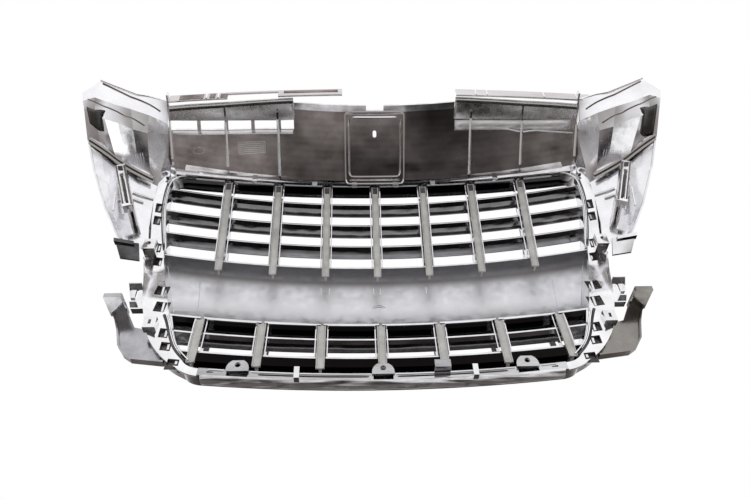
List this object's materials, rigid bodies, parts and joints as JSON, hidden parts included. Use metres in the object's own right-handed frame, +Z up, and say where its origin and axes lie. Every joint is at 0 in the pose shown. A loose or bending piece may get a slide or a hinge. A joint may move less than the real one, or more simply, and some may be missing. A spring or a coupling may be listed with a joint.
{
  "type": "front grille",
  "caption": "Chrome-plated front grille of a compact car: slatted frame with a number-plate bar, sloping top panel, swept side wings and rear clips and brackets.",
  "frame": {"origin": "bottom centre of the bounding box: on the mirror plane, midway front to back, at the lowest edge", "axes": "+Z up as fitted, -Y the way the car faces, +X the car's left"},
  "size_m": [0.794, 0.2098, 0.4244],
  "materials": {
    "bright_chrome": "mirror-plated ABS",
    "back_chrome": "plated, slightly uneven back face",
    "satin_chrome": "satin-plated",
    "frosted_chrome": "plated over a textured mould face",
    "panel_chrome": "plated, fine-ribbed panel"
  },
  "bodies": {
    "root": {"bottom_rail": "back_chrome", "box_bracket": "back_chrome", "clip_posts": "back_chrome", "closing_panel": "panel_chrome", "corner_clip_left": "back_chrome", "corner_clip_right": "back_chrome", "flag_tab_left": "back_chrome", "flag_tab_right": "back_chrome", "hook_left": "back_chrome", "hook_right": "back_chrome", "latch_cover": "panel_chrome", "lower_bar_1": "frosted_chrome", "lower_bar_2": "frosted_chrome", "lower_bar_3": "frosted_chrome", "lower_bar_4": "frosted_chrome", "lower_bar_5": "frosted_chrome", "lower_bar_6": "frosted_chrome", "lower_bar_7": "frosted_chrome", "lower_bar_trims": "bright_chrome", "lower_cell_frame": "back_chrome", "lower_lip": "bright_chrome", "lower_slat": "back_chrome", "panel_catches": "back_chrome", "plate_bar": "satin_chrome", "rail_bosses": "back_chrome", "rear_apron_left": "panel_chrome", "rear_apron_right": "panel_chrome", "rear_lip_left": "back_chrome", "rear_lip_right": "back_chrome", "side_arm_left": "back_chrome", "side_arm_right": "back_chrome", "side_rail_left": "back_chrome", "side_rail_right": "back_chrome", "surround": "bright_chrome", "upper_bar_1": "frosted_chrome", "upper_bar_2": "frosted_chrome", "upper_bar_3": "frosted_chrome", "upper_bar_4": "frosted_chrome", "upper_bar_5": "frosted_chrome", "upper_bar_6": "frosted_chrome", "upper_bar_7": "frosted_chrome", "upper_bar_trims": "bright_chrome", "upper_cell_frame": "back_chrome", "upper_slat_1": "back_chrome", "upper_slat_2": "back_chrome", "upper_slat_3": "back_chrome", "wing_left": "satin_chrome", "wing_post_left": "satin_chrome", "wing_post_right": "satin_chrome", "wing_right": "satin_chrome"}
  },
  "joints": []
}
